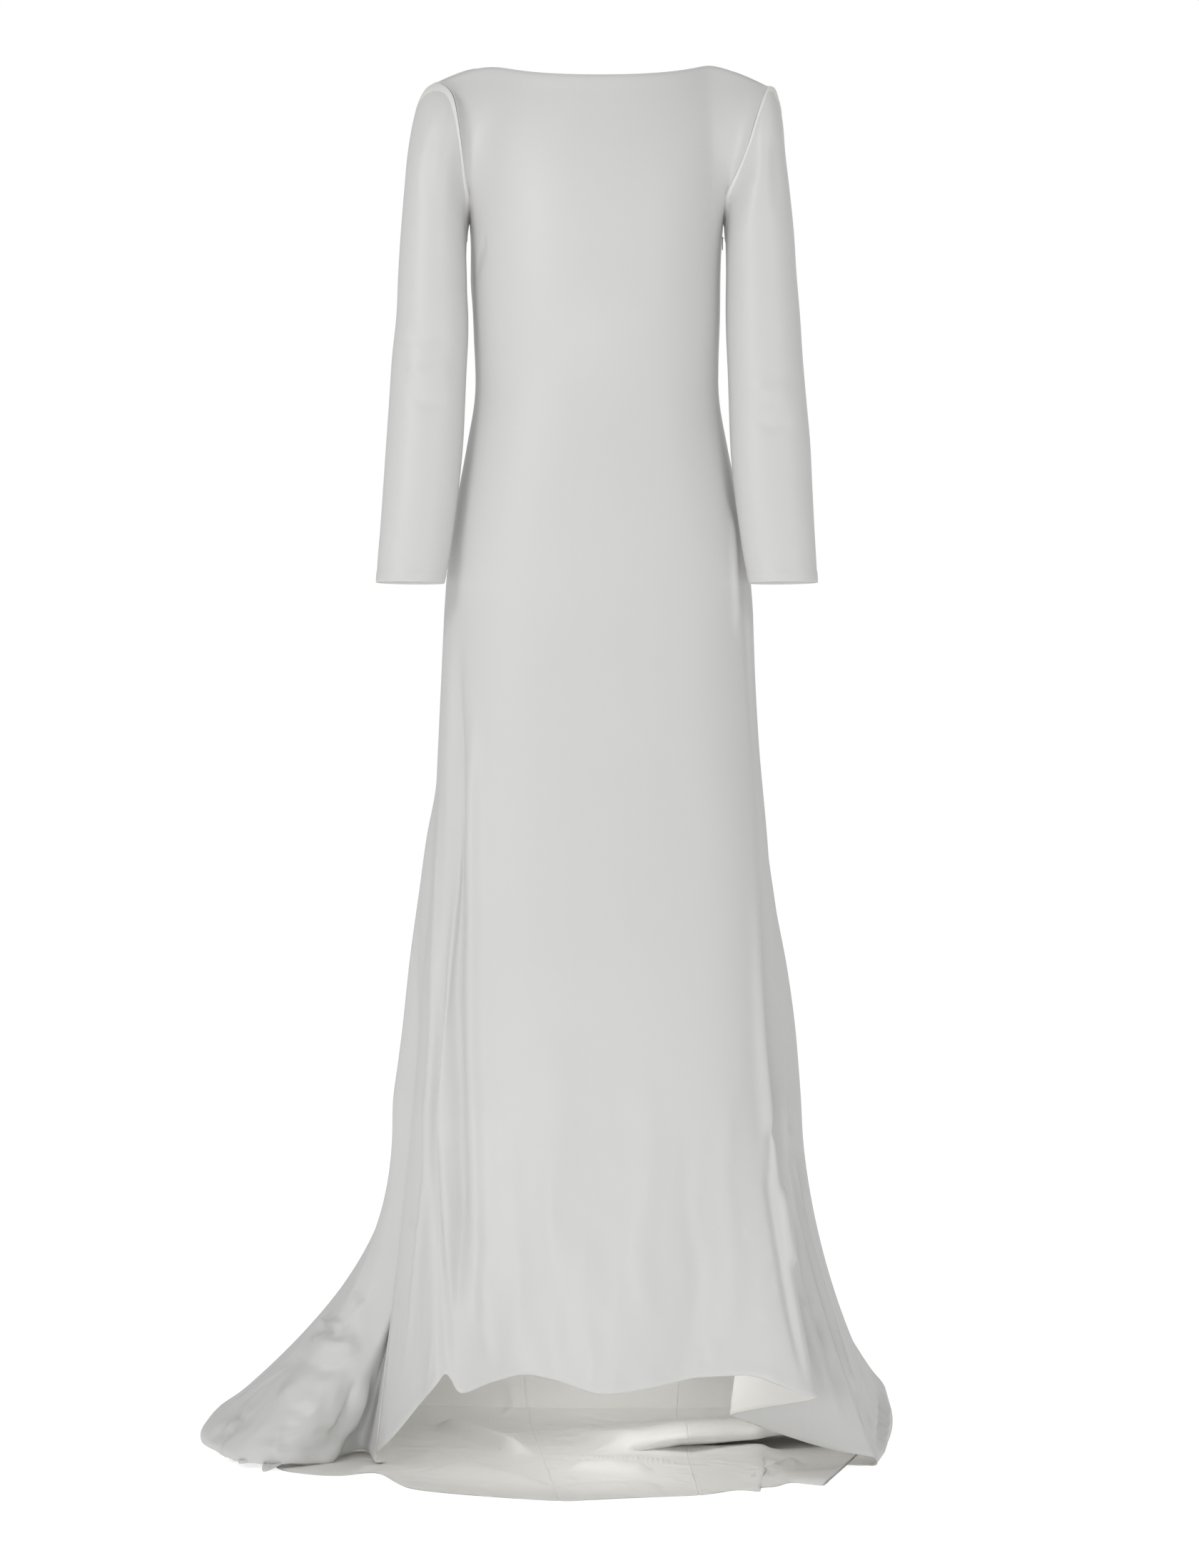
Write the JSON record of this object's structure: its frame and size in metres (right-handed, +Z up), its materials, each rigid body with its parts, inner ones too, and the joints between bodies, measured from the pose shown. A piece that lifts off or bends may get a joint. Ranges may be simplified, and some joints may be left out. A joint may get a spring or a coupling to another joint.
{
  "type": "evening gown",
  "caption": "floor-length evening gown in satin with a bateau neck, long fitted sleeves, a side zip and a sweep train brought forward under the hem",
  "frame": {"origin": "midway between the two neck points of the shoulder seams, where a hanger or a wearer's shoulders hold the gown", "axes": "+X towards the right of the picture (the wearer's left), +Y towards the back of the gown, +Z up"},
  "size_m": [0.8509, 0.5964, 1.646],
  "materials": {
    "satin": "satin",
    "zip_metal": "satin",
    "zip_tab": "satin"
  },
  "bodies": {
    "gown": {"front": "satin", "back": "satin", "side_back_left": "satin", "side_back_right": "satin", "sleeve_left": "satin", "sleeve_right": "satin", "zip_slider": "zip_metal"},
    "pull": {"zip_pull": "zip_tab"}
  },
  "joints": [
    {"name": "zip_pull_swing", "type": "hinge", "parent": "gown", "child": "pull", "pos_m": [0.14555, 0.02543, -0.201], "axis": [0, -1, 0], "range_deg": [0, 95]}
  ]
}
